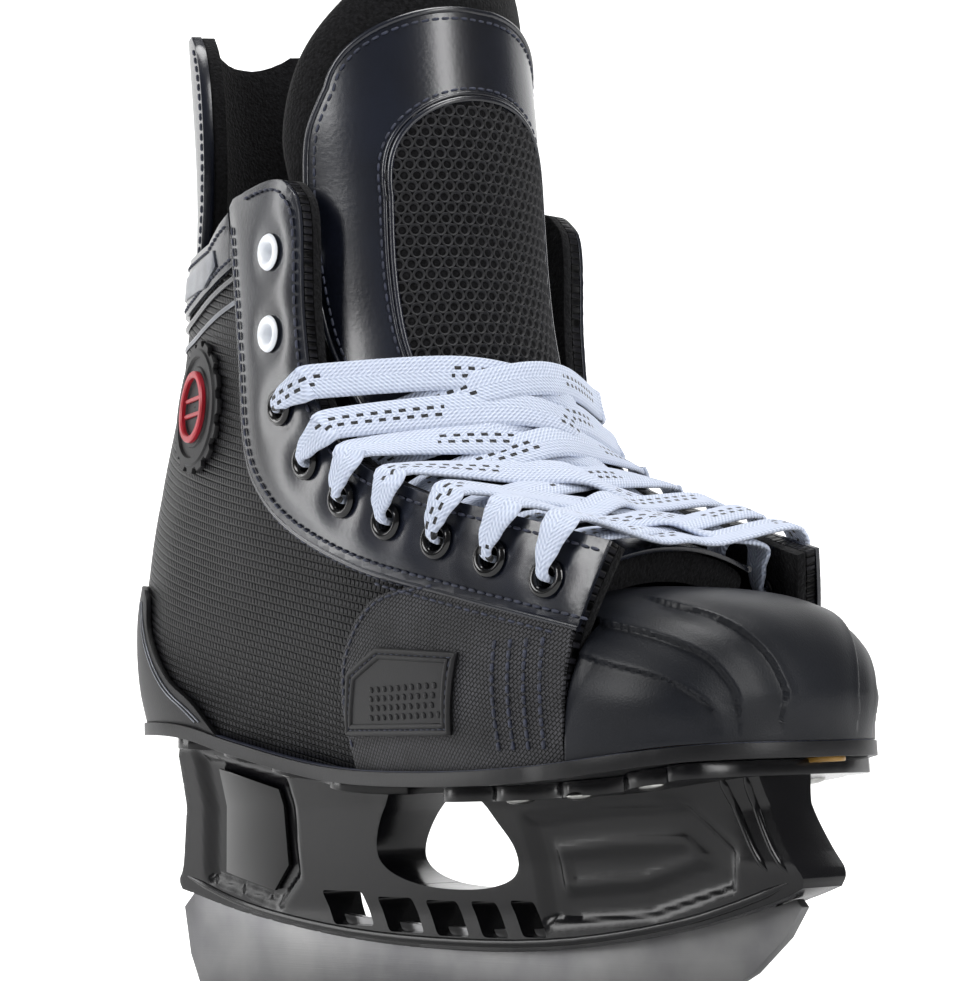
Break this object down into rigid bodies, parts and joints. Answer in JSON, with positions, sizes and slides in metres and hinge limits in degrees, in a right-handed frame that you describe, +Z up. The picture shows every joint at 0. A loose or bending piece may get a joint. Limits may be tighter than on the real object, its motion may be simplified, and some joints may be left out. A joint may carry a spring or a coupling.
{
  "type": "ice hockey skate",
  "caption": "Right-foot ice hockey skate with a padded boot, hinged tendon guard, fold-forward felt tongue, lacing, blade holder and steel runner.",
  "frame": {"origin": "on the ice, on the flat stretch of the runner's glide, at the middle of the boot's length", "axes": "+X to the toe, +Z up, -Y to the outer side of the right foot"},
  "size_m": [0.2911, 0.118, 0.3119],
  "materials": {
    "white_enamel": "enamelled",
    "black_enamel": "enamelled",
    "embossed_pu": "embossed, satin",
    "felt": "felted",
    "foam": "textile on foam",
    "smooth_pu": "smooth, semi-gloss",
    "ballistic_nylon": "woven",
    "rubber": "moulded, matte",
    "red_plastic": "gloss",
    "cap_plastic": "fine grain",
    "holder_plastic": "moulded, semi-gloss",
    "gloss_insert": "gloss",
    "sole_plastic": "moulded",
    "fibreboard": "pressed",
    "air_mesh": "spacer mesh",
    "runner_steel": "dull brushed",
    "rivet_steel": "plated",
    "lace_polyester": "flat woven"
  },
  "bodies": {
    "boot": {"blade_holder": "holder_plastic", "footbed": "foam", "heel_counter": "rubber", "lace": "lace_polyester", "lasting_board": "fibreboard", "left_ankle_badge": "rubber", "left_ankle_pad": "foam", "left_badge_ring": "red_plastic", "left_ball_rivet": "rivet_steel", "left_collar_panel": "smooth_pu", "left_eyelet_1": "white_enamel", "left_eyelet_2": "white_enamel", "left_eyelet_3": "black_enamel", "left_eyelet_4": "black_enamel", "left_eyelet_5": "black_enamel", "left_eyelet_6": "black_enamel", "left_eyelet_7": "black_enamel", "left_eyelet_8": "black_enamel", "left_eyelet_9": "black_enamel", "left_facing": "smooth_pu", "left_lining": "felt", "left_quarter": "embossed_pu", "left_rear_rivet": "rivet_steel", "left_side_panel": "ballistic_nylon", "left_side_patch": "rubber", "left_toe_rivet": "rivet_steel", "left_tower_insert": "gloss_insert", "outsole": "sole_plastic", "right_ankle_badge": "rubber", "right_ankle_pad": "foam", "right_badge_ring": "red_plastic", "right_ball_rivet": "rivet_steel", "right_collar_panel": "smooth_pu", "right_eyelet_1": "white_enamel", "right_eyelet_2": "white_enamel", "right_eyelet_3": "black_enamel", "right_eyelet_4": "black_enamel", "right_eyelet_5": "black_enamel", "right_eyelet_6": "black_enamel", "right_eyelet_7": "black_enamel", "right_eyelet_8": "black_enamel", "right_eyelet_9": "black_enamel", "right_facing": "smooth_pu", "right_lining": "felt", "right_quarter": "embossed_pu", "right_rear_rivet": "rivet_steel", "right_side_panel": "ballistic_nylon", "right_side_patch": "rubber", "right_toe_rivet": "rivet_steel", "right_tower_insert": "gloss_insert", "runner": "runner_steel", "toe_cap": "cap_plastic", "tongue_lower_cover": "smooth_pu", "tongue_lower_felt": "felt"},
    "tongue_top": {"tongue_upper_felt": "felt", "tongue_upper_cover": "smooth_pu", "tongue_mesh": "air_mesh"},
    "guard": {"tendon_guard": "smooth_pu", "tendon_guard_lining": "felt"}
  },
  "joints": [
    {"name": "tongue_fold", "type": "hinge", "parent": "boot", "child": "tongue_top", "pos_m": [0.02, 0, 0.2], "axis": [0, 1, 0], "range_deg": [0, 60]},
    {"name": "tendon_guard_flex", "type": "hinge", "parent": "boot", "child": "guard", "pos_m": [-0.1095, 0, 0.2332], "axis": [0, -1, 0], "range_deg": [0, 12], "stiffness_Nm_per_rad": 3}
  ]
}
